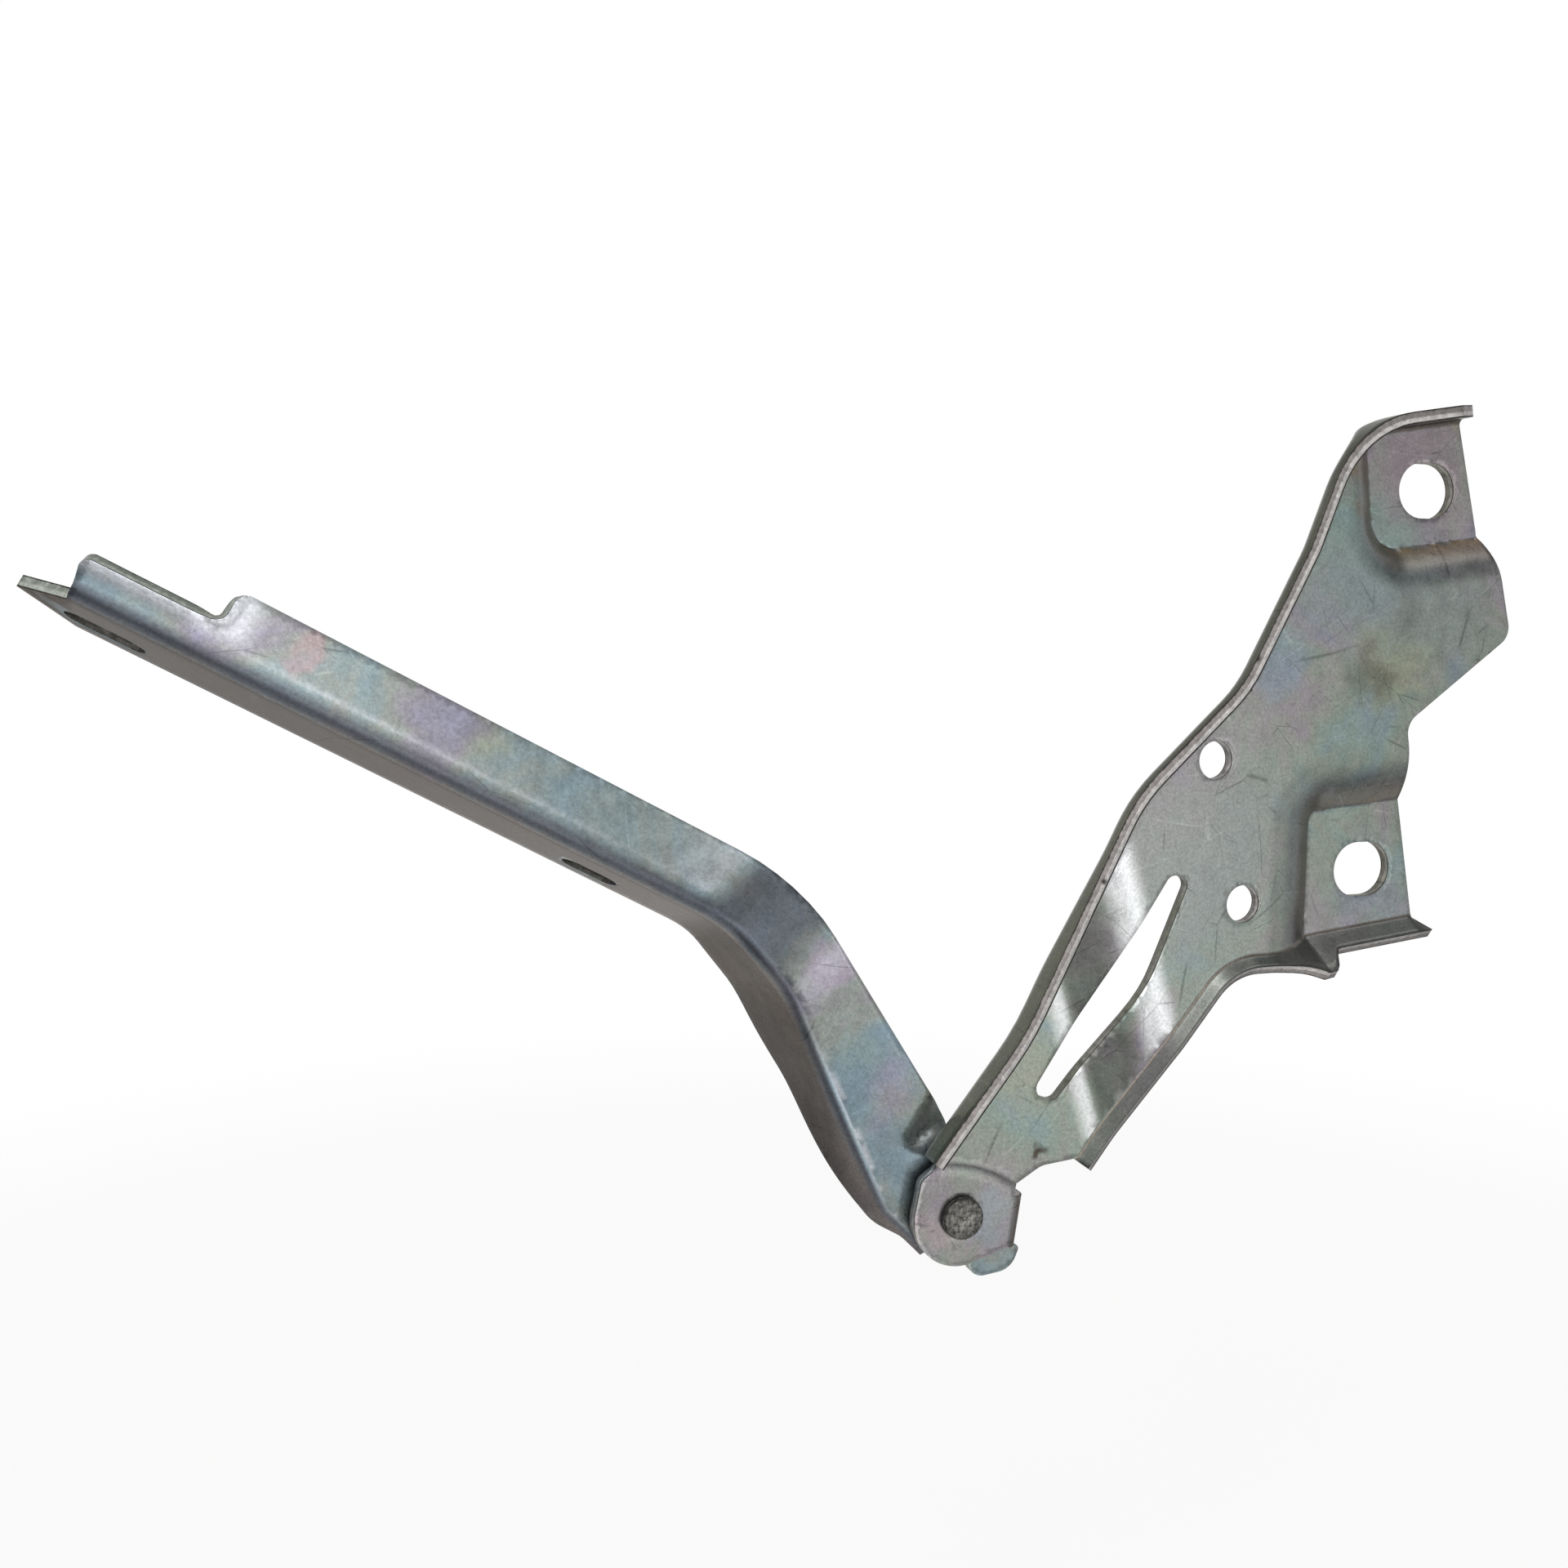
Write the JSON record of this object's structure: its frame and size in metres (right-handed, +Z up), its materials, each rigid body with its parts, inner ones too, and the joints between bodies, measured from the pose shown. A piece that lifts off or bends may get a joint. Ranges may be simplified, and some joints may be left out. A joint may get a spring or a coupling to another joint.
{
  "type": "hood hinge",
  "caption": "Pressed steel hood hinge: a body bracket with raised bolt seats, and a cranked angle-section hood arm that swings on a rivet at its foot.",
  "frame": {"origin": "centre of the lower body bolt hole, on the plane where the bracket's seats meet the vehicle body", "axes": "+Y into the vehicle body, square to the seats; +Z up the bracket's plate; +X from the hood arm's free end towards the bracket"},
  "size_m": [0.3281, 0.0331, 0.1992],
  "materials": {
    "bracket_zinc": "zinc plated, clear passivated, satin",
    "arm_zinc": "zinc plated, clear passivated, satin",
    "rivet_steel": "dark, mottled",
    "bush_bronze": "sintered, oiled",
    "washer_steel": "plain, satin"
  },
  "bodies": {
    "bracket": {"body_bracket": "bracket_zinc", "pivot_rivet": "rivet_steel", "thrust_washer": "washer_steel"},
    "arm": {"hood_arm": "arm_zinc", "pivot_bush": "bush_bronze"}
  },
  "joints": [
    {"name": "hood_arm_pivot", "type": "hinge", "parent": "bracket", "child": "arm", "pos_m": [-0.1069, 0, -0.0724], "axis": [0, 1, 0], "range_deg": [0, 62]}
  ]
}
